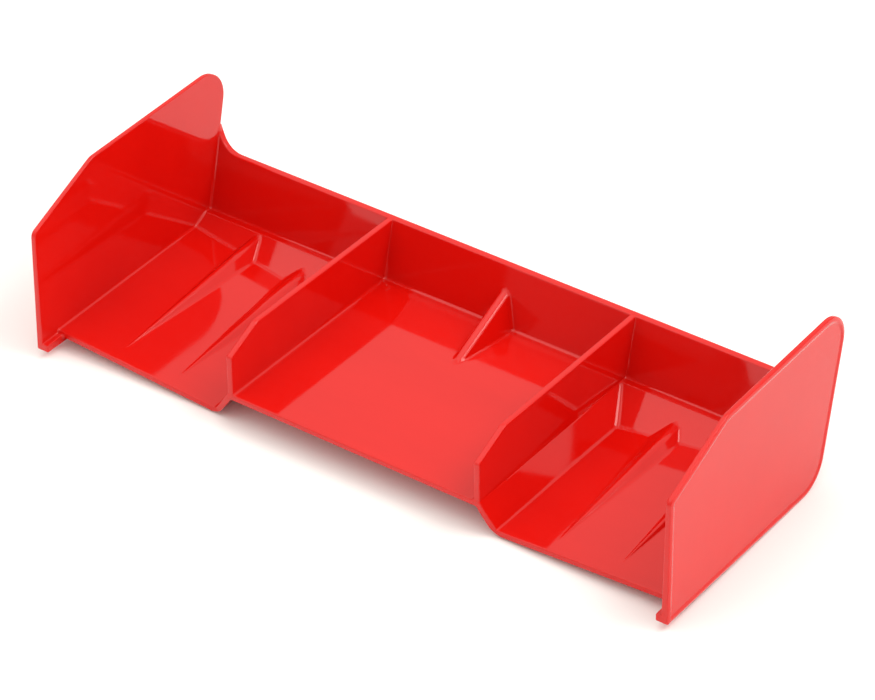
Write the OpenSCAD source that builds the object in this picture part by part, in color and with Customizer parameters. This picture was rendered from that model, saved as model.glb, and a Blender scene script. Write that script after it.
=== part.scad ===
// One-eighth scale off-road model car rear wing, injection moulded.
// X is the span, Y runs rearwards, Z is up, and the origin is the centre of
// the bounding box on the ground plane.  All sizes are in millimetres.

/* [Overall] */
// Distance between the inner faces of the end plates
inner_w = 204; // [186:1:212]
// General wall thickness of the moulding
wall_t = 1.8; // [1.2:0.1:3]
// Thickness of the rear wall
rear_t = 2.0; // [1.2:0.1:3]

/* [Centre deck] */
// Distance from the centre line to the middle of each divider
divider_x = 40.6; // [30:0.1:55]
// Front edge of the deck and dividers
deck_front_y = -36.29; // [-45:0.1:-25]
// Deck height at its front edge
deck_front_z = 9.85; // [6:0.05:14]
// Deck height where it meets the rear wall
deck_rear_z = 7.9; // [5:0.05:12]

/* [Rear wall] */
// Front face of the wall where its plane crosses the ground
wall_foot_y = 31.62; // [25:0.01:40]
// Rearward lean of the wall, as run over rise
wall_lean = 0.238; // [0:0.001:0.4]
// Height of the wall's top edge
wall_top_z = 25.95; // [18:0.05:35]
// Radius of the sweep from the wall's top edge up to each end plate
web_r = 8; // [4:0.5:14]

/* [Dividers] */
// Height of the divider's front top corner
divider_nose_z = 22.2; // [12:0.05:30]
// Where the divider's nose slope ends, rearward position
divider_knee_y = -24.09; // [-32:0.1:-10]
// Where the divider's nose slope ends, height
divider_knee_z = 27.45; // [18:0.1:34]
// Height of the divider's top where it meets the rear wall
divider_rear_z = 25.75; // [18:0.05:34]

/* [Side trays] */
// Height of the tray floor beside its inner step
tray_low_z = 2.25; // [1.8:0.05:4]
// Rise of the tray floor towards the end plate, per unit of span
tray_dihedral = 0.059; // [0:0.001:0.12]
// Foot of the inner step at the front
step_foot_front_x = 46.6; // [43:0.1:50]
// Foot of the inner step at the rear
step_foot_rear_x = 47.9; // [43:0.1:52]
// Front edge of the trays
tray_front_y = -35.49; // [-45:0.1:-25]
// Slope of the kick-up at the back of each tray, as rise over run
ramp_slope = 0.49; // [0.3:0.01:1]
// Width of the flat ledge between the kick-up and the rear wall
ledge_w = 2.3; // [0:0.1:4]

/* [Strakes] */
// Spanwise position of the inner strake
inner_strake_x = 62.8; // [55:0.1:70]
// Spanwise position of the outer strake
outer_strake_x = 82.1; // [72:0.1:92]
// Half width of the inner strake's base where the kick-up starts
inner_strake_base = 4.1; // [2:0.1:6]
// Half width of the outer strake's base where the kick-up starts
outer_strake_base = 3.6; // [2:0.1:6]
// Front tip of the strakes
strake_tip_y = -28.8; // [-34:0.1:-20]
// Width of a strake's flat crest at its tip
strake_tip_w = 0.4; // [0.2:0.1:2]
// Width of a strake's flat crest at its rear end
strake_crest_w = 1.7; // [0.6:0.1:3]
// Height of the inner strake over the tray at its tip
inner_strake_tip_h = 0.15; // [0.1:0.05:1]
// Rise of the inner strake's crest per unit of length
inner_strake_rise = 0.042; // [0:0.0001:0.1]
// Height of the outer strake over the tray at its tip
outer_strake_tip_h = 0.15; // [0.1:0.05:1.5]
// Rise of the outer strake's crest per unit of length
outer_strake_rise = 0.051; // [0:0.0001:0.1]

/* [Centre gusset] */
// Front tip of the gusset on the deck
gusset_tip_y = 12; // [0:0.1:20]
// Height of the gusset's crest at the wall
gusset_top_z = 18.65; // [12:0.1:24]
// Width of the gusset's crest
gusset_crest_w = 2.4; // [1:0.1:4]
// Half width of the gusset's base at the wall
gusset_base_half = 4.4; // [1.5:0.1:8]

/* [End plates] */
// Front edge of the plate at the ground end
plate_nose_y = -42.34; // [-50:0.1:-36]
// Height of the plate's front lower corner
plate_nose_z = 2.1; // [0:0.1:5]
// Height of the plate's front upper corner
plate_brow_z = 41.25; // [30:0.1:50]
// Rearward position where the plate's brow slope ends
plate_shoulder_y = -15.99; // [-30:0.1:0]
// Height where the plate's brow slope ends
plate_shoulder_z = 52.35; // [40:0.1:60]
// Rear edge of the plate at the ground, before rounding
plate_heel_y = 32.46; // [25:0.1:40]
// Rearward position of the plate's rear top corner, before rounding
plate_tail_y = 44.86; // [35:0.1:50]
// Height of the plate's rear top corner, before rounding
plate_tail_z = 52.65; // [40:0.1:60]
// Height of the plate's lower edge at its rear end, before rounding
plate_heel_z = -0.25; // [-2:0.01:2]
// Front edge of the plate at its upper end
plate_brow_y = -41.84; // [-50:0.1:-36]
// Thickness of the plate's rim at the ground
plate_root_t = 2.15; // [1.5:0.05:3]
// Thickness of the plate's rim at its top
plate_tip_t = 1.5; // [1:0.05:3]
// How deep the plate's outer field lies below its rim
field_depth = 0.3; // [0:0.05:0.6]
// Width of the flat rim round that field
rim_w = 1.1; // [0.2:0.1:2]
// Width of the slope from the rim down to the field
border_w = 1.0; // [0.5:0.1:4]
// Radius of the rear top corner
plate_tail_r = 9.5; // [2:0.5:14]
// Radius of the rear lower corner
plate_heel_r = 10; // [2:0.5:14]
// Radius of the front upper corner
plate_brow_r = 2.5; // [0.5:0.5:6]
// Radius where the brow slope meets the top edge
plate_shoulder_r = 6; // [0.5:0.5:12]
// How far the foot rail stands inboard of the plate
foot_rail_w = 1.7; // [0.8:0.1:3]
// Rear end of the foot rail
foot_rail_end_y = 18.66; // [0:1:24]

/* [Hidden] */
$fn = 96;
// Lengths that are only there to reach past the part
big = 300;
below = 20;
above = 70;
plate_x = inner_w / 2;
deck_x = divider_x + wall_t / 2;
deck_in_x = divider_x - wall_t / 2;
foot_x = step_foot_front_x;
function wall_y(z) = wall_foot_y + wall_lean * z;
deck_back_y = wall_y(deck_rear_z);
deck_fall = (deck_rear_z - deck_front_z) / (deck_back_y - deck_front_y);
function deck_z(y) = deck_front_z + deck_fall * (y - deck_front_y);
function floor_z(x) = tray_low_z + tray_dihedral * (x - foot_x);
ledge_y = deck_back_y - ledge_w;
ledge_z = deck_z(ledge_y);
function ramp_z(y) = ledge_z + ramp_slope * (y - ledge_y);
function ramp_y(z) = ledge_y + (z - ledge_z) / ramp_slope;
red = [0.87, 0.07, 0.06];

// Unit vector along v
function unit(v) = v / norm(v);
// Centre of a fillet of radius r at corner p between neighbours a and b
function half_angle(a, p, b) = acos(unit(a - p) * unit(b - p)) / 2;
function fillet_c(a, p, b, r) =
  p + unit(unit(a - p) + unit(b - p)) * r / sin(half_angle(a, p, b));
// Point where that fillet meets the side from p to q
function fillet_t(a, p, b, r, q) =
  p + unit(q - p) * r / tan(half_angle(a, p, b));

// Everything on the far side of the plane through a, b and c, moved by d along
// its normal.  The normal points the way the right-hand rule gives.
module under_plane(a, b, c, d = 0) {
  n = unit(cross(b - a, c - a));
  u = unit(b - a);
  v = cross(n, u);
  o = a + n * d;
  multmatrix([
    [u.x, v.x, n.x, o.x],
    [u.y, v.y, n.y, o.y],
    [u.z, v.z, n.z, o.z],
    [0, 0, 0, 1]
  ])
    translate([-big, -big, -big])
      cube([2 * big, 2 * big, big]);
}

// A profile in Y and Z, drawn as the extrusion between two X stations
module along_x(x0, x1) {
  translate([x0, 0, 0])
    rotate([90, 0, 90])
      linear_extrude(height = x1 - x0)
        children();
}

// A profile in X and Z, drawn as the extrusion between two Y stations
module along_y(y0, y1) {
  translate([0, y1, 0])
    rotate([90, 0, 0])
      linear_extrude(height = y1 - y0)
        children();
}

// Solid under each moulded surface.  d = 0 is the upper skin and
// d = -wall_t is the lower skin of the same wall.
module under_deck(d) {
  under_plane([-50, deck_front_y, deck_front_z], [50, deck_front_y, deck_front_z],
    [0, deck_back_y, deck_rear_z], d);
}
module under_floor(d) {
  under_plane([foot_x, -50, floor_z(foot_x)], [plate_x, -50, floor_z(plate_x)],
    [foot_x, 50, floor_z(foot_x)], d);
}
module under_ramp(d) {
  under_plane([0, ledge_y, ledge_z], [100, ledge_y, ledge_z],
    [0, ledge_y + 10, ramp_z(ledge_y + 10)], d);
}
// The step twists a little along its length, so two planes share it
step_a = [deck_x, deck_front_y, deck_front_z];
step_b = [foot_x, deck_front_y, tray_low_z];
step_c = [deck_x, deck_back_y, deck_rear_z];
step_d = [step_foot_rear_x, ramp_y(tray_low_z), tray_low_z];
module under_step(d) {
  intersection() {
    under_plane(step_a, step_b, step_d, d);
    under_plane(step_a, step_d, step_c, d);
  }
}
// Solid under a whole skin of one side tray
module under_skin(d) {
  under_floor(d);
  intersection() {
    under_step(d);
    under_deck(d);
  }
  intersection() {
    under_ramp(d);
    under_deck(d);
  }
}

// Plan outline shared by the deck, steps, floors and kick-ups
module plan(x0, x1) {
  translate([0, 0, -big])
    linear_extrude(height = 2 * big)
      intersection() {
        polygon([
          [-deck_x, deck_front_y], [deck_x, deck_front_y],
          [foot_x, tray_front_y], [plate_x, tray_front_y],
          [plate_x, big], [-plate_x, big], [-plate_x, tray_front_y],
          [-foot_x, tray_front_y]
        ]);
        translate([x0, -big])
          square([x1 - x0, 2 * big]);
      }
}
// Everything in front of the rear wall
module before_wall(x0, x1) {
  along_x(x0, x1)
    polygon([
      [-big, -below], [wall_y(-below), -below], [wall_y(above), above], [-big, above]
    ]);
}
// The slab of the rear wall between two X stations and from z0 upwards
module wall_slab(x0, x1, z0, z1) {
  along_x(x0, x1)
    polygon([
      [wall_y(z0), z0], [wall_y(z0) + rear_t, z0],
      [wall_y(z1) + rear_t, z1], [wall_y(z1), z1]
    ]);
}

module centre_deck() {
  color(red)
    difference() {
      intersection() {
        under_deck(0);
        plan(-deck_in_x, deck_in_x);
        before_wall(-deck_in_x, deck_in_x);
      }
      under_deck(-wall_t);
    }
}

module rear_wall() {
  color(red)
    difference() {
      wall_slab(-plate_x, plate_x, 0, wall_top_z);
      under_deck(-wall_t);
    }
}

// Everything inboard of the gusset's right flank
module gusset_flank(w, tip, back) {
  under_plane([w, gusset_tip_y, tip], [gusset_base_half, deck_back_y, deck_rear_z],
    [w, back, gusset_top_z]);
}

module centre_gusset() {
  w = gusset_crest_w / 2;
  tip = deck_z(gusset_tip_y);
  back = wall_y(gusset_top_z);
  color(red)
    difference() {
      intersection() {
        before_wall(-10, 10);
        under_plane([-w, gusset_tip_y, tip], [w, gusset_tip_y, tip], [0, back, gusset_top_z]);
        gusset_flank(w, tip, back);
        mirror([1, 0, 0])
          gusset_flank(w, tip, back);
        translate([-10, 0, 0])
          cube([20, 60, 40]);
      }
      under_deck(0);
    }
}

module divider() {
  color(red)
    along_x(divider_x - wall_t / 2, divider_x + wall_t / 2)
      polygon([
        [deck_front_y, deck_front_z], [deck_back_y, deck_rear_z],
        [wall_y(divider_rear_z), divider_rear_z], [divider_knee_y, divider_knee_z],
        [deck_front_y, divider_nose_z]
      ]);
}

module tray_step() {
  color(red)
    difference() {
      intersection() {
        under_step(0);
        under_deck(0);
        plan(deck_in_x, plate_x);
        before_wall(deck_in_x, plate_x);
      }
      under_floor(0);
      under_skin(-wall_t);
    }
}

module tray_floor() {
  color(red)
    difference() {
      intersection() {
        under_floor(0);
        plan(deck_x, plate_x);
        before_wall(deck_x, plate_x);
      }
      under_skin(-wall_t);
    }
}

module tray_ramp() {
  color(red)
    difference() {
      intersection() {
        under_ramp(0);
        under_deck(0);
        plan(deck_x, plate_x);
        before_wall(deck_x, plate_x);
      }
      under_floor(0);
      under_step(0);
      under_skin(-wall_t);
    }
}

// A low wedge that grows rearwards out of the tray floor
module strake(x, tip_h, rise, base_half) {
  v = strake_tip_w / 2;
  w = strake_crest_w / 2;
  y0 = strake_tip_y;
  z0 = floor_z(x) + tip_h;
  yb = ramp_y(floor_z(x));
  zb = z0 + rise * (yb - y0);
  color(red)
    difference() {
      intersection() {
        under_plane([x - w, y0, z0], [x + w, y0, z0], [x, yb, zb]);
        under_plane([x + v, y0, z0], [x + base_half, yb, floor_z(x)], [x + w, yb, zb]);
        under_plane([x - v, y0, z0], [x - w, yb, zb], [x - base_half, yb, floor_z(x)]);
        under_plane([x + w, y0, z0], [x - w, y0, z0], [x, y0 - 1, z0 - 1]);
        translate([x - 8, y0 - 3, 0])
          cube([16, ledge_y - y0 + 3, 20]);
      }
      under_floor(0);
      under_ramp(0);
    }
}

module corner_web() {
  color(red)
    intersection() {
      wall_slab(plate_x - web_r, plate_x, wall_top_z, wall_top_z + web_r);
      along_y(20, 60)
        difference() {
          translate([plate_x - web_r, wall_top_z])
            square([web_r, web_r]);
          translate([plate_x - web_r, wall_top_z + web_r])
            circle(r = web_r);
        }
    }
}

// Corners of the plate in Y and Z, in order, with a radius for each
plate_pts = [
  [plate_nose_y, plate_nose_z],
  [plate_heel_y, plate_heel_z],
  [plate_tail_y, plate_tail_z],
  [plate_shoulder_y, plate_shoulder_z],
  [plate_brow_y, plate_brow_z]
];
plate_rs = [0.8, plate_heel_r, plate_tail_r, plate_shoulder_r, plate_brow_r];
plate_steps = [3, 10, 12, 3, 6];
// Points along the fillet at one corner
function corner(i) =
  let (
    n = len(plate_pts),
    a = plate_pts[(i + n - 1) % n],
    p = plate_pts[i],
    b = plate_pts[(i + 1) % n],
    r = plate_rs[i],
    c = fillet_c(a, p, b, r),
    u = fillet_t(a, p, b, r, a) - c,
    v = fillet_t(a, p, b, r, b) - c,
    a0 = atan2(u.y, u.x),
    turn = (atan2(v.y, v.x) - a0 + 720) % 360
  )
  [
    for (k = [0 : plate_steps[i]])
      let (g = a0 + turn * k / plate_steps[i])
      c + r * [cos(g), sin(g)]
  ];
plate_outline = [for (i = [0 : len(plate_pts) - 1]) each corner(i)];
function rim_x(z) = plate_x + plate_root_t + (plate_tip_t - plate_root_t) * z / plate_tail_z;
module plate_profile() {
  polygon(plate_outline);
}

// The hollow in the plate's outer face, inside a sloped border
module field_pocket() {
  n = len(plate_outline);
  f = rim_x(0) - field_depth;
  intersection() {
    under_plane([f, 10, 0], [f, 0, 0], [rim_x(50) - field_depth, 0, 50]);
    intersection_for (i = [0 : n - 1]) {
      p = plate_outline[i];
      q = plate_outline[(i + 1) % n];
      t = unit(q - p);
      a = p + [-t.y, t.x] * rim_w;
      b = q + [-t.y, t.x] * rim_w;
      c = p + [-t.y, t.x] * (rim_w + border_w);
      under_plane(
        [rim_x(b.y), b.x, b.y],
        [rim_x(a.y), a.x, a.y],
        [rim_x(c.y) - field_depth, c.x, c.y]
      );
    }
  }
}

module end_plate() {
  color(red)
    difference() {
      intersection() {
        along_x(plate_x, plate_x + 10)
          plate_profile();
        under_plane([rim_x(0), 0, 0], [rim_x(0), 10, 0], [rim_x(50), 0, 50]);
      }
      field_pocket();
    }
}

module foot_rail() {
  color(red)
    intersection() {
      along_x(plate_x - foot_rail_w, plate_x)
        plate_profile();
      along_x(plate_x - foot_rail_w, plate_x)
        polygon([
          [-60, -5], [foot_rail_end_y - 6, -5], [foot_rail_end_y, 8], [-60, 8]
        ]);
      under_floor(-wall_t);
    }
}

module on_left() {
  mirror([1, 0, 0])
    children();
}

module left_divider() { on_left() divider(); }
module right_divider() { divider(); }
module left_tray_step() { on_left() tray_step(); }
module right_tray_step() { tray_step(); }
module left_tray_floor() { on_left() tray_floor(); }
module right_tray_floor() { tray_floor(); }
module left_tray_ramp() { on_left() tray_ramp(); }
module right_tray_ramp() { tray_ramp(); }
module inner_strake() { strake(inner_strake_x, inner_strake_tip_h, inner_strake_rise, inner_strake_base); }
module outer_strake() { strake(outer_strake_x, outer_strake_tip_h, outer_strake_rise, outer_strake_base); }
module left_inner_strake() { on_left() inner_strake(); }
module right_inner_strake() { inner_strake(); }
module left_outer_strake() { on_left() outer_strake(); }
module right_outer_strake() { outer_strake(); }
module left_corner_web() { on_left() corner_web(); }
module right_corner_web() { corner_web(); }
module left_end_plate() { on_left() end_plate(); }
module right_end_plate() { end_plate(); }
module left_foot_rail() { on_left() foot_rail(); }
module right_foot_rail() { foot_rail(); }

centre_deck();
rear_wall();
centre_gusset();
left_divider();
right_divider();
left_tray_step();
right_tray_step();
left_tray_floor();
right_tray_floor();
left_tray_ramp();
right_tray_ramp();
left_inner_strake();
right_inner_strake();
left_outer_strake();
right_outer_strake();
left_corner_web();
right_corner_web();
left_end_plate();
right_end_plate();
left_foot_rail();
right_foot_rail();
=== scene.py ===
"""Visual model of a one-piece moulded rear wing for a one-eighth scale model car.

The wing is one injection moulding, so its faces run into each other through
fillets.  The shape is written once as a signed function of position, with a
radius on every edge and crease, then meshed and parted close to the CAD nodes'
boundaries, clear of the fillets.  Neighbouring pieces share their boundary
points and take their normals from the same function, so the partings don't show.
Lengths in the shape section are millimetres; Blender objects are in metres.
"""

import math

import bpy
import numpy as np
from mathutils import Matrix, Vector


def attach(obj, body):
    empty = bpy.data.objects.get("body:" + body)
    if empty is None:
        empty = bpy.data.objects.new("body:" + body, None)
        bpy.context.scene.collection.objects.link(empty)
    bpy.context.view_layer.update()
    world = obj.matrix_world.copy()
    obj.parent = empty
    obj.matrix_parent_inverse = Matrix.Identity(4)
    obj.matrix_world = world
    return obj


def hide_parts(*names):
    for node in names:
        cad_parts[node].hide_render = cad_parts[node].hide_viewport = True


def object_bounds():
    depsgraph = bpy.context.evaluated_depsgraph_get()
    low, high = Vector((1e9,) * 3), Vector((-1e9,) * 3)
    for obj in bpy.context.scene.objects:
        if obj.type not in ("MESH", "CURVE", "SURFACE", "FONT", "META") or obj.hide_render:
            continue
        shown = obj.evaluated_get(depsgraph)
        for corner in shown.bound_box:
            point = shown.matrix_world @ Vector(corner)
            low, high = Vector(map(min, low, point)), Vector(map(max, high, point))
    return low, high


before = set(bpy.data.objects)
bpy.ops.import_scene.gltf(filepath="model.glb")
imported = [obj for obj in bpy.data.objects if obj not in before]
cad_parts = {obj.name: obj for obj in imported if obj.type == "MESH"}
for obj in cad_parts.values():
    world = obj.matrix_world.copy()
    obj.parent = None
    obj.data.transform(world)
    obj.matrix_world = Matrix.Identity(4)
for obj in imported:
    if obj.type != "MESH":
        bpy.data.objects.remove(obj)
cad_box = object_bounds()

# ------------------------------------------------------------------ sizes, mm
PLATE_X = 102.0  # inner face of each end plate
WALL_T = 1.8  # skin thickness
DIV_X = 40.6  # middle of each divider
DECK_X = 41.5
DECK_Y = -36.29
DECK_Z = 9.85
DECK_REAR_Z = 7.9
FOOT_Y = 31.62  # rear wall's front face at the ground
LEAN = 0.238
WALL_TOP = 25.95
REAR_T = 2.0
WEB_R = 8.0
DIVIDER_REAR = 25.75
TRAY_Z = 2.25
DIHEDRAL = 0.059
STEP_FOOT_F = 46.6
STEP_FOOT_R = 47.9
TRAY_Y = -35.49
RAMP = 0.49
LEDGE_W = 2.3
STEP_OUT_X = 52.0  # outboard of every point on a step
LEAN_N = math.hypot(1, LEAN)
DECK_BACK_Y = FOOT_Y + LEAN * DECK_REAR_Z
FALL = (DECK_REAR_Z - DECK_Z) / (DECK_BACK_Y - DECK_Y)
LEDGE_Y = DECK_BACK_Y - LEDGE_W
LEDGE_Z = DECK_Z + FALL * (LEDGE_Y - DECK_Y)
STEP_REAR_Y = LEDGE_Y + (TRAY_Z - LEDGE_Z) / RAMP
# strakes: span position, height at the tip, rise, half width of the base
STRAKES = ((62.8, 0.05, 0.044, 4.1), (82.1, 0.05, 0.053, 3.6))
STRAKE_Y = -28.8
# end plate corners in Y and Z, and the radius at each
PLATE = (
    (-42.34, 2.1, 0.8),
    (32.46, -0.25, 10.0),
    (44.86, 52.65, 9.5),
    (-15.99, 52.35, 6.0),
    (-41.84, 41.25, 2.5),
)
ROOT_T = 2.15
TIP_T = 1.5
FIELD = 0.3  # depth of the outer field below its rim
RIM_W = 1.1
BORDER = 1.0
BEVEL = 0.3
RAIL_W = 1.7
RAIL_END = 18.66
RAIL_TOP = 8.0
# divider top and gusset, in Y and Z
DIV_NOSE_Z = 22.2
KNEE = (-24.09, 27.45)
GUSSET_TIP_Y = 12.0
GUSSET_TOP_Z = 18.65
GUSSET_CREST = 1.25  # half width of its crest
GUSSET_BASE = 4.4  # half width of its base at the wall
STRAKE_TIP = 0.12  # half width of a strake's crest at its tip
STRAKE_CREST = 0.85  # and at its rear end
# partings lie this far outside a feature's fillets, and this deep in the skin
CLEAR = 0.35
WALL_CLEAR = 1.0
PLATE_CLEAR = 0.85


# ------------------------------------------------------- signed shape function
def meet(a, b, r):
    """Where both solids are, with the edge rounded by r."""
    return np.minimum(-r, np.maximum(a, b)) + np.hypot(
        np.maximum(a + r, 0), np.maximum(b + r, 0)
    )


def join(a, b, r):
    """Where either solid is, with the crease filled by a fillet of r."""
    return np.maximum(r, np.minimum(a, b)) - np.hypot(
        np.maximum(r - a, 0), np.maximum(r - b, 0)
    )


def ease(v, lo, hi):
    t = np.clip((v - lo) / (hi - lo), 0, 1)
    return t * t * (3 - 2 * t)


def plane(points, away):
    """Signed distance from the plane through three points, positive towards away."""
    a, b, c = (np.array(p, float) for p in points)
    n = np.cross(b - a, c - a)
    n /= np.linalg.norm(n)
    if (np.array(away, float) - a) @ n < 0:
        n = -n
    return lambda x, y, z: (x - a[0]) * n[0] + (y - a[1]) * n[1] + (z - a[2]) * n[2]


def line_yz(p, q, away):
    return plane(((0, *p), (0, *q), (1, *p)), (0, *away))


def deck_z(y):
    return DECK_Z + FALL * (y - DECK_Y)


def floor_z(x):
    return TRAY_Z + DIHEDRAL * (x - STEP_FOOT_F)


def deck_f(x, y, z):
    return (z - deck_z(y)) / math.hypot(1, FALL)


def floor_f(x, y, z):
    return (z - floor_z(x)) / math.hypot(1, DIHEDRAL)


def ramp_f(x, y, z):
    return (z - LEDGE_Z - RAMP * (y - LEDGE_Y)) / math.hypot(1, RAMP)


def step_f(x, y, z):
    foot = STEP_FOOT_F + (STEP_FOOT_R - STEP_FOOT_F) * (y - DECK_Y) / (
        STEP_REAR_Y - DECK_Y
    )
    run = foot - DECK_X
    drop = deck_z(y) - TRAY_Z
    return ((x - DECK_X) * drop + (z - deck_z(y)) * run) / np.hypot(run, drop)


def wall_f(x, y, z):
    """Positive behind the rear wall's front face."""
    return (y - FOOT_Y - LEAN * z) / LEAN_N


def skin_f(x, y, z):
    """Below the upper skin of deck, steps, trays and kick-ups."""
    d = deck_f(x, y, z)
    trays = join(floor_f(x, y, z), meet(ramp_f(x, y, z), d, 0.14), 0.4)
    corner = 0.45 + 0.35 * ease(y, 12, 24)
    return join(trays, meet(d, step_f(x, y, z), 0.25), corner)


def wall_top_f(x, z):
    """The wall's top edge, swept up into each end plate."""
    web = np.where(
        z < WALL_TOP + WEB_R,
        WEB_R - np.hypot(x - (PLATE_X - WEB_R), z - (WALL_TOP + WEB_R)),
        PLATE_X - x,
    )
    t = np.where(x < PLATE_X - WEB_R, z - WALL_TOP, web)
    return t + 1.2 * ease(z, 29.5, 35.5) + 1.5 * ease(z, 36, 40)


NOSE = (DECK_Y, DIV_NOSE_Z)
divider_nose = line_yz(NOSE, KNEE, (-60, 60))
divider_top = line_yz(KNEE, (FOOT_Y + LEAN * DIVIDER_REAR, DIVIDER_REAR), (0, 60))

GUSSET_TIP = (GUSSET_TIP_Y, deck_z(GUSSET_TIP_Y))
GUSSET_TOP = (FOOT_Y + LEAN * GUSSET_TOP_Z, GUSSET_TOP_Z)
gusset_crest = line_yz(GUSSET_TIP, GUSSET_TOP, (0, 60))
gusset_flank = plane(
    (
        (GUSSET_CREST, *GUSSET_TIP),
        (GUSSET_BASE, DECK_BACK_Y, DECK_REAR_Z),
        (GUSSET_CREST, *GUSSET_TOP),
    ),
    (40, 20, 12),
)


def divider_f(x, y, z):
    side = np.abs(x - DIV_X) - WALL_T / 2
    top = meet(divider_nose(x, y, z), divider_top(x, y, z), 0.3)
    return meet(side, meet(top, NOSE[0] - y, 0.5), 0.42)


def gusset_f(x, y, z):
    return meet(gusset_crest(x, y, z), gusset_flank(x, y, z), 0.9)


def ramp_foot_y(z_floor):
    """Where the kick-up starts, for a tray floor at this height."""
    return LEDGE_Y + (z_floor - LEDGE_Z) / RAMP


def strake_planes(sx, tip_h, rise, half):
    z_floor = floor_z(sx)
    z0 = z_floor + tip_h
    yb = ramp_foot_y(z_floor)
    zb = z0 + rise * (yb - STRAKE_Y)
    crest = line_yz((STRAKE_Y, z0), (yb, zb), (0, 60))
    flank = plane(
        ((STRAKE_TIP, STRAKE_Y, z0), (half, yb, z_floor), (STRAKE_CREST, yb, zb)),
        (30, 0, 20),
    )
    return sx, crest, flank


STRAKE_SHAPES = [strake_planes(*s) for s in STRAKES]


def strake_f(shape, x, y, z):
    sx, crest, flank = shape
    u = np.sqrt((x - sx) ** 2 + 0.01)
    body = meet(crest(u, y, z), flank(u, y, z), 0.1 + 0.3 * ease(y, -30, 12))
    return meet(body, STRAKE_Y - 0.6 - y, 0.08)


def plate_edges():
    n = len(PLATE)
    edges, corners = [], []
    for i in range(n):
        p = np.array(PLATE[i][:2])
        q = np.array(PLATE[(i + 1) % n][:2])
        o = np.array(PLATE[i - 1][:2])
        d = (q - p) / np.linalg.norm(q - p)
        e = (p - o) / np.linalg.norm(p - o)
        edges.append((p, np.array((d[1], -d[0]))))
        half = math.acos(float(np.dot(-e, d))) / 2
        mid = (d - e) / np.linalg.norm(d - e)
        r = PLATE[i][2]
        corners.append((p + mid * r / math.sin(half), e, -d, r))
    return edges, corners


EDGES, CORNERS = plate_edges()


def outline_f(y, z):
    """Signed distance from the end plate's rounded outline."""
    f = None
    for p, n in EDGES:
        g = (y - p[0]) * n[0] + (z - p[1]) * n[1]
        f = g if f is None else np.maximum(f, g)
    for c, e, d, r in CORNERS:
        u = (y - c[0]) * e[0] + (z - c[1]) * e[1]
        v = (y - c[0]) * d[0] + (z - c[1]) * d[1]
        f = np.where((u > 0) & (v > 0), np.hypot(y - c[0], z - c[1]) - r, f)
    return f


rail_end = line_yz((RAIL_END - 6, -5), (RAIL_END, RAIL_TOP), (60, 0))


def plate_f(x, y, z, skin):
    edge = outline_f(y, z)
    rim = PLATE_X + ROOT_T + (TIP_T - ROOT_T) * z / 52.65
    slope = np.clip((-edge - RIM_W) / BORDER, 0, 1)
    slope = 0.5 * slope + 0.5 * ease(-edge, RIM_W, RIM_W + BORDER)
    outer = x - rim + FIELD * slope + BEVEL * (1 - ease(-edge, -0.4, RIM_W))
    rail = meet(meet(PLATE_X - RAIL_W - x, rail_end(x, y, z), 0.5), skin + 0.9, 0.2)
    inner = join(PLATE_X - x, rail, 0.4)
    return meet(meet(edge, outer, 0.3), inner, 0.3)


def shape_f(x, y, z):
    """The whole moulding: negative inside, in millimetres."""
    x = np.abs(x)
    skin = skin_f(x, y, z)
    behind = wall_f(x, y, z)
    top = skin
    for s in STRAKE_SHAPES:
        top = join(top, strake_f(s, x, y, z), 0.1 + 0.35 * ease(y, -30, 12))
    wall = meet(-behind, wall_top_f(x, z), 0.42)
    top = join(top, wall, 0.55 + 0.4 * (1 - ease(x, 41.0, 44.0)))
    d = deck_f(x, y, z)
    outer_r = 0.12 + 0.65 * ease(d, 1.5, 4)
    r = outer_r + (0.8 - outer_r) * (1 - ease(x, 40.1, 41.1))
    r = r + (0.3 - r) * ease(z, 11, 14)
    top = join(top, divider_f(x, y, z), r)
    top = join(top, gusset_f(x, y, z), 0.55)
    tub = meet(top, behind - REAR_T / LEAN_N, 0.4)
    front = DECK_Y + (TRAY_Y - DECK_Y) * ease(x, DECK_X, STEP_FOOT_F) - y
    tub = meet(tub, front, 0.4)
    tub = meet(tub, -(skin + WALL_T), 0.3)
    tub = meet(tub, x - PLATE_X - 0.7, 0.2)
    return join(tub, plate_f(x, y, z, skin), 0.8)


# ------------------------------------------------------------ piece boundaries
CENTRE = ("centre_deck", "rear_wall", "centre_gusset")
SIDES = (
    "divider",
    "tray_step",
    "tray_floor",
    "tray_ramp",
    "inner_strake",
    "outer_strake",
    "corner_web",
    "end_plate",
    "foot_rail",
)
NAMES = list(CENTRE) + [f"{s}_{n}" for n in SIDES for s in ("left", "right")]
INDEX = {n: i + 1 for i, n in enumerate(NAMES)}


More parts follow.
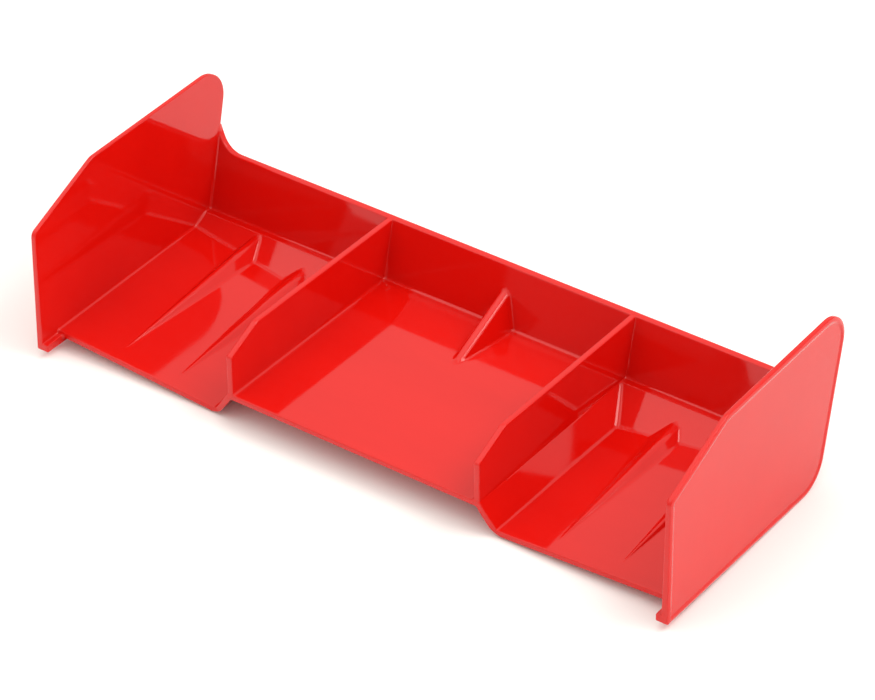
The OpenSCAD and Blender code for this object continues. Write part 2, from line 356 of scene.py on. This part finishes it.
def piece_f(x, y, z):
    """Which piece a point inside the moulding belongs to."""
    right = x > 0
    x = np.abs(x)
    skin = skin_f(x, y, z)
    d = deck_f(x, y, z)
    fl = floor_f(x, y, z)
    behind = wall_f(x, y, z)
    out = np.zeros(x.shape, np.uint8)

    def put(mask, name):
        if name in CENTRE:
            out[mask] = INDEX[name]
        else:
            out[mask & right] = INDEX["right_" + name]
            out[mask & ~right] = INDEX["left_" + name]

    everything = np.ones(x.shape, bool)
    put(everything, "tray_floor")
    put(y > ramp_foot_y(floor_z(x) + 0.2), "tray_ramp")
    put((fl > 0.12) & (step_f(x, y, z) < 0.2) & (x < STEP_OUT_X), "tray_step")
    put(x < DIV_X - WALL_T / 2, "centre_deck")
    for name, (sx, tip_h, rise, half) in zip(("inner_strake", "outer_strake"), STRAKES):
        yb = ramp_foot_y(floor_z(sx))
        high = tip_h + rise * (yb - STRAKE_Y)
        end = (tip_h - rise * STRAKE_Y + RAMP * yb) / (RAMP - rise)
        grow = STRAKE_TIP + (half - STRAKE_TIP) * (y - STRAKE_Y) / (yb - STRAKE_Y)
        shrink = half - (half - STRAKE_CREST) * RAMP * (y - yb) / high
        foot = np.abs(x - sx) < CLEAR + np.minimum(grow, shrink)
        foot &= (y > STRAKE_Y - 0.3) & (y < end + 0.4)
        put(foot & (fl > -CLEAR) & (ramp_f(x, y, z) > -CLEAR), name)
    put((d > 0.22) & (np.abs(x - DIV_X) < 1.02), "divider")
    grow = (y - GUSSET_TIP_Y) / (DECK_BACK_Y - GUSSET_TIP_Y)
    foot = CLEAR + GUSSET_CREST + (GUSSET_BASE - GUSSET_CREST) * grow
    put((d > -CLEAR) & (x < foot) & (y > GUSSET_TIP_Y - 0.3), "centre_gusset")
    wall = behind > -WALL_CLEAR
    put(wall, "rear_wall")
    put(wall & (z > WALL_TOP + 0.1) & (x > PLATE_X - WEB_R), "corner_web")
    put(x > PLATE_X - PLATE_CLEAR, "end_plate")
    rail = (skin < -WALL_T - 0.02) | (y < TRAY_Y - 0.5)
    rail &= (y < RAIL_END + 0.84) & (z < RAIL_TOP)
    put(rail & (x > PLATE_X - RAIL_W - 0.4) & (x < PLATE_X - 0.25), "foot_rail")
    return out


# -------------------------------------------------------------------- meshing
def spans(*parts):
    out = []
    for a, b, h in parts:
        n = max(1, round((b - a) / h))
        out.append(np.linspace(a, b, n, endpoint=False))
    out.append(np.array([parts[-1][1]]))
    return np.concatenate(out)


Q = 1.0
half_x = spans(
    (0, 5.8, 0.3 * Q),
    (5.8, 39.0, 1.25 * Q),
    (39.0, 42.2, 0.2 * Q),
    (42.2, 49.6, 0.36 * Q),
    (49.6, 57.4, 0.8 * Q),
    (57.4, 61.2, 0.27 * Q),
    (61.2, 64.4, 0.14 * Q),
    (64.4, 68.0, 0.27 * Q),
    (68.0, 77.6, 0.8 * Q),
    (77.6, 80.5, 0.27 * Q),
    (80.5, 83.7, 0.14 * Q),
    (83.7, 86.4, 0.27 * Q),
    (86.4, 92.4, 0.8 * Q),
    (92.4, 99.4, 0.4 * Q),
    (99.4, 105.2, 0.18 * Q),
)
ys = spans(
    (-43.2, -34.2, 0.2 * Q),
    (-34.2, -28.0, 0.4 * Q),
    (-28.0, 8.0, 0.85 * Q),
    (8.0, 20.0, 0.5 * Q),
    (20.0, 31.0, 0.4 * Q),
    (31.0, 43.4, 0.25 * Q),
)
zs = spans(
    (-0.7, 3.0, 0.2 * Q),
    (3.0, 9.4, 0.16 * Q),
    (9.4, 10.7, 0.2 * Q),
    (10.7, 24.5, 0.6 * Q),
    (24.5, 28.0, 0.22 * Q),
    (28.0, 40.0, 0.5 * Q),
    (40.0, 53.4, 0.25 * Q),
)
xs = np.concatenate([-half_x[:0:-1], half_x])


def sample():
    """The signed function and the piece number on every grid point."""
    yy, zz = np.meshgrid(ys, zs, indexing="ij")
    f = np.empty((len(half_x), len(ys), len(zs)), np.float32)
    for i in range(0, len(half_x), 16):
        x = half_x[i : i + 16][:, None, None]
        x = np.broadcast_to(x, (x.shape[0], *yy.shape))
        f[i : i + 16] = shape_f(x, yy[None] + 0 * x, zz[None] + 0 * x)
    full = np.concatenate([f[:0:-1], f])
    lab = np.zeros(full.shape, np.uint8)
    i, j, k = np.nonzero(full < 0)
    lab[i, j, k] = piece_f(xs[i] + 1e-9, ys[j], zs[k])
    return full, lab


def gradient(p):
    h = 0.01
    g = np.empty_like(p)
    for a in range(3):
        d = np.zeros(3)
        d[a] = h
        g[:, a] = (shape_f(*(p + d).T) - shape_f(*(p - d).T)) / (2 * h)
    return g


def surface(f, lab):
    """A point in each cell that the surface or a parting crosses, and the faces between."""
    c0 = lab[:-1, :-1, :-1]
    mixed = np.zeros(c0.shape, bool)
    corners = [(a, b, c) for a in (0, 1) for b in (0, 1) for c in (0, 1)]
    nx, ny, nz = lab.shape
    for a, b, c in corners[1:]:
        mixed |= lab[a : nx - 1 + a, b : ny - 1 + b, c : nz - 1 + c] != c0
    ci, cj, ck = np.nonzero(mixed)
    index = np.full(mixed.shape, -1, np.int32)
    index[ci, cj, ck] = np.arange(len(ci))
    total = np.zeros((len(ci), 3))
    count = np.zeros(len(ci))
    air_total = np.zeros((len(ci), 3))
    air_count = np.zeros(len(ci))
    for a in corners:
        for axis in range(3):
            if a[axis]:
                continue
            b = list(a)
            b[axis] = 1
            ia, ja, ka = ci + a[0], cj + a[1], ck + a[2]
            ib, jb, kb = ci + b[0], cj + b[1], ck + b[2]
            la, lb = lab[ia, ja, ka], lab[ib, jb, kb]
            fa, fb = f[ia, ja, ka].astype(float), f[ib, jb, kb].astype(float)
            air = (la == 0) ^ (lb == 0)
            t = np.where(air, fa / np.where(fa == fb, 1, fa - fb), 0.5)
            t = np.clip(t, 0, 1)[:, None]
            pa = np.stack([xs[ia], ys[ja], zs[ka]], 1)
            pb = np.stack([xs[ib], ys[jb], zs[kb]], 1)
            pt = pa + (pb - pa) * t
            use = la != lb
            total[use] += pt[use]
            count[use] += 1
            air_total[air] += pt[air]
            air_count[air] += 1
    open_cell = air_count > 0
    p = total / count[:, None]
    p[open_cell] = air_total[open_cell] / air_count[open_cell][:, None]
    low = np.stack([xs[ci], ys[cj], zs[ck]], 1)
    high = np.stack([xs[ci + 1], ys[cj + 1], zs[ck + 1]], 1)
    room = (high - low) * 0.45
    q = p[open_cell]
    lo, hi = (low - room)[open_cell], (high + room)[open_cell]
    for _ in range(4):
        g = gradient(q)
        step = shape_f(*q.T) / np.maximum((g * g).sum(1), 0.05)
        q = np.clip(q - g * step[:, None], lo, hi)
    p[open_cell] = q
    g = gradient(q)
    normal = np.zeros_like(p)
    normal[open_cell] = g / np.maximum(np.linalg.norm(g, axis=1), 1e-6)[:, None]

    faces = []
    for axis in range(3):
        sl_a = [slice(1, -1)] * 3
        sl_b = [slice(1, -1)] * 3
        sl_a[axis] = slice(0, -1)
        sl_b[axis] = slice(1, None)
        la, lb = lab[tuple(sl_a)], lab[tuple(sl_b)]
        e = np.array(np.nonzero(la != lb))
        va, vb = la[tuple(e)], lb[tuple(e)]
        u, v = (axis + 1) % 3, (axis + 2) % 3
        base = e.copy()
        base[u] += 1
        base[v] += 1
        ring = []
        for du, dv in ((-1, -1), (0, -1), (0, 0), (-1, 0)):
            c = base.copy()
            c[u] += du
            c[v] += dv
            ring.append(index[tuple(c)])
        ring = np.stack(ring, 1)
        faces.append((ring, va, vb))
    return p, normal, faces


def build(material):
    f, lab = sample()
    p, normal, faces = surface(f, lab)
    low, high = (np.array([float(v) for v in corner]) for corner in cad_box)
    p = np.clip(p / 1000.0, low + 1e-6, high - 1e-6)
    made = {}
    for name in NAMES:
        k = INDEX[name]
        quads, outside = [], []
        for ring, va, vb in faces:
            m = va == k
            quads.append(ring[m])
            outside.append(vb[m] == 0)
            m = vb == k
            quads.append(ring[m][:, ::-1])
            outside.append(va[m] == 0)
        quads = np.concatenate(quads)
        outside = np.concatenate(outside)
        used, inverse = np.unique(quads, return_inverse=True)
        inverse = inverse.reshape(quads.shape)
        mesh = bpy.data.meshes.new(name + "_skin")
        mesh.from_pydata(p[used].tolist(), [], inverse.tolist())
        mesh.validate(clean_customdata=False)
        mesh.polygons.foreach_set("use_smooth", np.ones(len(mesh.polygons), bool))
        n = normal[used][inverse]
        if len(mesh.polygons) == len(quads):
            flat = np.empty(len(quads) * 3, np.float32)
            mesh.polygons.foreach_get("normal", flat)
            flat = flat.reshape(-1, 1, 3)
            side = np.sign((n * flat).sum(2, keepdims=True))
            on_skin = (np.abs(n).sum(2) > 0.5).all(1)
            cap = np.where(on_skin[:, None, None], n * side, flat)
            n = np.where(outside[:, None, None], n, cap)
            mesh.normals_split_custom_set(n.reshape(-1, 3).tolist())
        else:
            print("faces dropped on", name, len(quads) - len(mesh.polygons))
        mesh.update()
        mesh.materials.append(material)
        ob = bpy.data.objects.new(name + "_skin", mesh)
        bpy.context.scene.collection.objects.link(ob)
        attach(ob, "root")
        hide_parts(name)
        made[name] = ob
        print(name, len(mesh.polygons))
    return made


# ------------------------------------------------------------------- material
def plastic():
    m = bpy.data.materials.new("red_moulded_plastic")
    m.use_nodes = True
    nt = m.node_tree
    nodes, links = nt.nodes, nt.links
    nodes.clear()
    out = nodes.new("ShaderNodeOutputMaterial")
    bsdf = nodes.new("ShaderNodeBsdfPrincipled")
    links.new(bsdf.outputs[0], out.inputs[0])
    bsdf.inputs["IOR"].default_value = 1.46
    bsdf.inputs["Coat Weight"].default_value = 0.0
    coord = nodes.new("ShaderNodeTexCoord")

    def noise(scale, detail, rough=0.5, stretch=(1, 1, 1)):
        mp = nodes.new("ShaderNodeMapping")
        mp.inputs["Scale"].default_value = stretch
        links.new(coord.outputs["Object"], mp.inputs["Vector"])
        n = nodes.new("ShaderNodeTexNoise")
        n.inputs["Scale"].default_value = scale
        n.inputs["Detail"].default_value = detail
        n.inputs["Roughness"].default_value = rough
        links.new(mp.outputs[0], n.inputs["Vector"])
        return n

    def spread(node, lo, hi, a=0.3, b=0.7):
        r = nodes.new("ShaderNodeMapRange")
        r.inputs["From Min"].default_value = a
        r.inputs["From Max"].default_value = b
        r.inputs["To Min"].default_value = lo
        r.inputs["To Max"].default_value = hi
        links.new(node.outputs["Fac"], r.inputs["Value"])
        return r

    # colour: pigment clouds that follow the plastic's flow across the span
    flow = noise(26, 4, 0.55, (0.5, 1.6, 1.0))
    cloud = spread(flow, 0.0, 1.0)
    mix = nodes.new("ShaderNodeMix")
    mix.data_type = "RGBA"
    mix.inputs["A"].default_value = (0.61, 0.0042, 0.0022, 1)
    mix.inputs["B"].default_value = (0.66, 0.0058, 0.0030, 1)
    links.new(cloud.outputs[0], mix.inputs["Factor"])
    links.new(mix.outputs["Result"], bsdf.inputs["Base Color"])

    # gloss: a polished mould, a little duller in patches
    dull = noise(60, 5, 0.6)
    links.new(spread(dull, 0.035, 0.085).outputs[0], bsdf.inputs["Roughness"])

    # surface: faint sink and orange peel
    sink = noise(38, 2, 0.4, (0.7, 1.0, 1.0))
    b1 = nodes.new("ShaderNodeBump")
    b1.inputs["Strength"].default_value = 0.25
    b1.inputs["Distance"].default_value = 0.00012
    links.new(sink.outputs["Fac"], b1.inputs["Height"])
    peel = noise(900, 2, 0.5)
    b2 = nodes.new("ShaderNodeBump")
    b2.inputs["Strength"].default_value = 0.12
    b2.inputs["Distance"].default_value = 0.00002
    links.new(peel.outputs["Fac"], b2.inputs["Height"])
    links.new(b1.outputs[0], b2.inputs["Normal"])
    links.new(b2.outputs[0], bsdf.inputs["Normal"])
    return m


# ---------------------------------------------------------------------- stage
WARM_WHITE = (1, 0.982, 0.93)


def stage():
    mesh = bpy.data.meshes.new("floor")
    s = 6.0
    corners = [(-s, -s, 0), (s, -s, 0), (s, s, 0), (-s, s, 0)]
    mesh.from_pydata(corners, [], [(0, 1, 2, 3)])
    floor = bpy.data.objects.new("floor", mesh)
    floor.location.z = -0.00002  # just under the part's lowest point
    bpy.context.scene.collection.objects.link(floor)
    m = bpy.data.materials.new("floor_white")
    m.use_nodes = True
    b = m.node_tree.nodes["Principled BSDF"]
    b.inputs["Base Color"].default_value = (0.93, 0.93, 0.93, 1)
    b.inputs["Roughness"].default_value = 0.9
    b.inputs["Specular IOR Level"].default_value = 0.1
    mesh.materials.append(m)

    w = bpy.data.worlds.new("studio")
    bpy.context.scene.world = w
    w.use_nodes = True
    nodes, links = w.node_tree.nodes, w.node_tree.links
    sky = nodes["Background"]
    sky.inputs["Color"].default_value = (*WARM_WHITE, 1)
    # dimmer towards the horizon, as the upright faces reflect it
    coord = nodes.new("ShaderNodeTexCoord")
    split = nodes.new("ShaderNodeSeparateXYZ")
    rise = nodes.new("ShaderNodeMapRange")
    rise.inputs["From Max"].default_value = 0.42
    rise.inputs["To Min"].default_value = 0.5
    rise.inputs["To Max"].default_value = 0.99
    links.new(coord.outputs["Generated"], split.inputs[0])
    links.new(split.outputs["Z"], rise.inputs["Value"])
    links.new(rise.outputs[0], sky.inputs["Strength"])


def area(name, loc, aim, size, power):
    data = bpy.data.lights.new(name, "AREA")
    data.shape = "RECTANGLE"
    data.size, data.size_y = size
    data.energy = power
    data.color = WARM_WHITE
    ob = bpy.data.objects.new(name, data)
    ob.location = loc
    ob.rotation_euler = (Vector(aim) - Vector(loc)).to_track_quat("-Z", "Y").to_euler()
    bpy.context.scene.collection.objects.link(ob)


def camera():
    az, el, roll = math.radians(35.696), math.radians(36.374), math.radians(-0.531)
    back = Vector(
        (math.sin(az) * math.cos(el), -math.cos(az) * math.cos(el), math.sin(el))
    )
    right = Vector((math.cos(az), math.sin(az), 0))
    up = back.cross(right)
    r2 = right * math.cos(roll) + up * math.sin(roll)
    u2 = up * math.cos(roll) - right * math.sin(roll)
    data = bpy.data.cameras.new("camera")
    data.sensor_width = 36
    data.lens = 165.68
    data.clip_start = 0.02
    ob = bpy.data.objects.new("camera", data)
    loc = Vector((0.5127, -0.70999, 0.66495))
    ob.matrix_world = Matrix(
        (
            (r2.x, u2.x, back.x, loc.x),
            (r2.y, u2.y, back.y, loc.y),
            (r2.z, u2.z, back.z, loc.z),
            (0, 0, 0, 1),
        )
    )
    bpy.context.scene.collection.objects.link(ob)
    bpy.context.scene.camera = ob


camera()
stage()
area("key", (0.745, 0.43, 1.23), (0, 0, 0.02), (0.75, 0.75), 8.5)
area("overhead", (-0.35, -0.25, 1.4), (0, 0, 0), (1.5, 1.5), 5.7)
area("fill", (-0.72, -0.87, 0.97), (0, 0, 0.02), (0.9, 0.9), 0.8)
area("right", (1.35, 0, 0.62), (0, 0, 0.02), (0.7, 0.7), 2.2)
bpy.context.scene.view_settings.view_transform = "Standard"
build(plastic())


bpy.context.view_layer.update()
